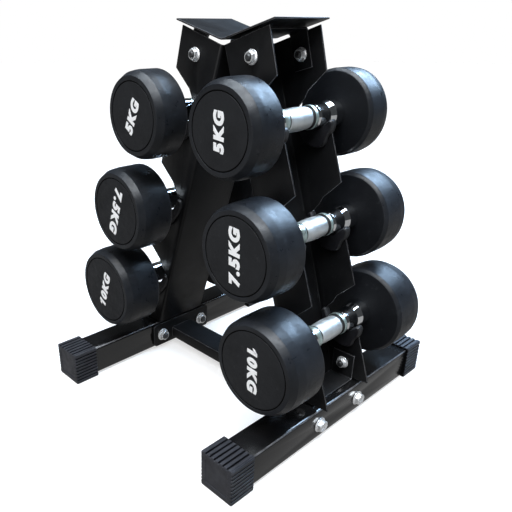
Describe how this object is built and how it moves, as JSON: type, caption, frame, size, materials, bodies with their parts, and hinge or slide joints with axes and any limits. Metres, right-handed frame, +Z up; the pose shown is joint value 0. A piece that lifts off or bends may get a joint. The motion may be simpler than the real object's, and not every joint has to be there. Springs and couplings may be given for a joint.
{
  "type": "dumbbell rack",
  "caption": "Small A-frame rack of folded sheet uprights on a bolted tube base, with a shallow top tray and stacked tiers of cradles that hold pairs of round-headed dumbbells.",
  "frame": {"origin": "on the floor, under the centre of the rack", "axes": "+Z up, +X towards the right-hand column of dumbbells, -Y towards the front of the rack, where the long axes of the dumbbells point"},
  "size_m": [0.4336, 0.43, 0.5183],
  "materials": {
    "frame_paint": "satin black powder coat",
    "cap_rubber": "matte black ribbed rubber",
    "cradle_plastic": "fine-textured black moulded plastic",
    "head_rubber": "smooth satin black rubber",
    "handle_chrome": "polished, with a fine knurl on the grip",
    "fastener_zinc": "bright zinc plate"
  },
  "bodies": {
    "rack": {"upright_right": "frame_paint", "upright_left": "frame_paint", "top_tray": "frame_paint", "tray_bracket_right": "frame_paint", "tray_bracket_left": "frame_paint", "base_tube_right": "frame_paint", "base_tube_left": "frame_paint", "cross_member": "frame_paint", "foot_bracket_right": "frame_paint", "foot_bracket_left": "frame_paint", "foot_cap_right_back": "cap_rubber", "foot_cap_right_front": "cap_rubber", "foot_cap_left_back": "cap_rubber", "foot_cap_left_front": "cap_rubber", "cradle_top_right_back": "cradle_plastic", "cradle_top_right_front": "cradle_plastic", "cradle_top_left_back": "cradle_plastic", "cradle_top_left_front": "cradle_plastic", "cradle_middle_right_back": "cradle_plastic", "cradle_middle_right_front": "cradle_plastic", "cradle_middle_left_back": "cradle_plastic", "cradle_middle_left_front": "cradle_plastic", "cradle_bottom_right_back": "cradle_plastic", "cradle_bottom_right_front": "cradle_plastic", "cradle_bottom_left_back": "cradle_plastic", "cradle_bottom_left_front": "cradle_plastic", "base_bolt_right_back": "fastener_zinc", "base_nut_right_back": "fastener_zinc", "foot_bolt_right_back": "fastener_zinc", "tray_bolt_right_back": "fastener_zinc", "base_bolt_right_front": "fastener_zinc", "base_nut_right_front": "fastener_zinc", "foot_bolt_right_front": "fastener_zinc", "tray_bolt_right_front": "fastener_zinc", "base_bolt_left_back": "fastener_zinc", "base_nut_left_back": "fastener_zinc", "foot_bolt_left_back": "fastener_zinc", "tray_bolt_left_back": "fastener_zinc", "base_bolt_left_front": "fastener_zinc", "base_nut_left_front": "fastener_zinc", "foot_bolt_left_front": "fastener_zinc", "tray_bolt_left_front": "fastener_zinc"},
    "dumbbell_top_right": {"handle_top_right": "handle_chrome", "head_top_right_back": "head_rubber", "head_top_right_front": "head_rubber"},
    "dumbbell_top_left": {"handle_top_left": "handle_chrome", "head_top_left_back": "head_rubber", "head_top_left_front": "head_rubber"},
    "dumbbell_middle_right": {"handle_middle_right": "handle_chrome", "head_middle_right_back": "head_rubber", "head_middle_right_front": "head_rubber"},
    "dumbbell_middle_left": {"handle_middle_left": "handle_chrome", "head_middle_left_back": "head_rubber", "head_middle_left_front": "head_rubber"},
    "dumbbell_bottom_right": {"handle_bottom_right": "handle_chrome", "head_bottom_right_back": "head_rubber", "head_bottom_right_front": "head_rubber"},
    "dumbbell_bottom_left": {"handle_bottom_left": "handle_chrome", "head_bottom_left_back": "head_rubber", "head_bottom_left_front": "head_rubber"}
  },
  "joints": [
    {"name": "lift_off_top_right", "type": "slide", "parent": "rack", "child": "dumbbell_top_right", "axis": [0.7431, 0, 0.6691], "range_m": [0, 0.25]},
    {"name": "lift_off_top_left", "type": "slide", "parent": "rack", "child": "dumbbell_top_left", "axis": [-0.7431, 0, 0.6691], "range_m": [0, 0.25]},
    {"name": "lift_off_middle_right", "type": "slide", "parent": "rack", "child": "dumbbell_middle_right", "axis": [0.7431, 0, 0.6691], "range_m": [0, 0.25]},
    {"name": "lift_off_middle_left", "type": "slide", "parent": "rack", "child": "dumbbell_middle_left", "axis": [-0.7431, 0, 0.6691], "range_m": [0, 0.25]},
    {"name": "lift_off_bottom_right", "type": "slide", "parent": "rack", "child": "dumbbell_bottom_right", "axis": [0.7431, 0, 0.6691], "range_m": [0, 0.25]},
    {"name": "lift_off_bottom_left", "type": "slide", "parent": "rack", "child": "dumbbell_bottom_left", "axis": [-0.7431, 0, 0.6691], "range_m": [0, 0.25]}
  ]
}
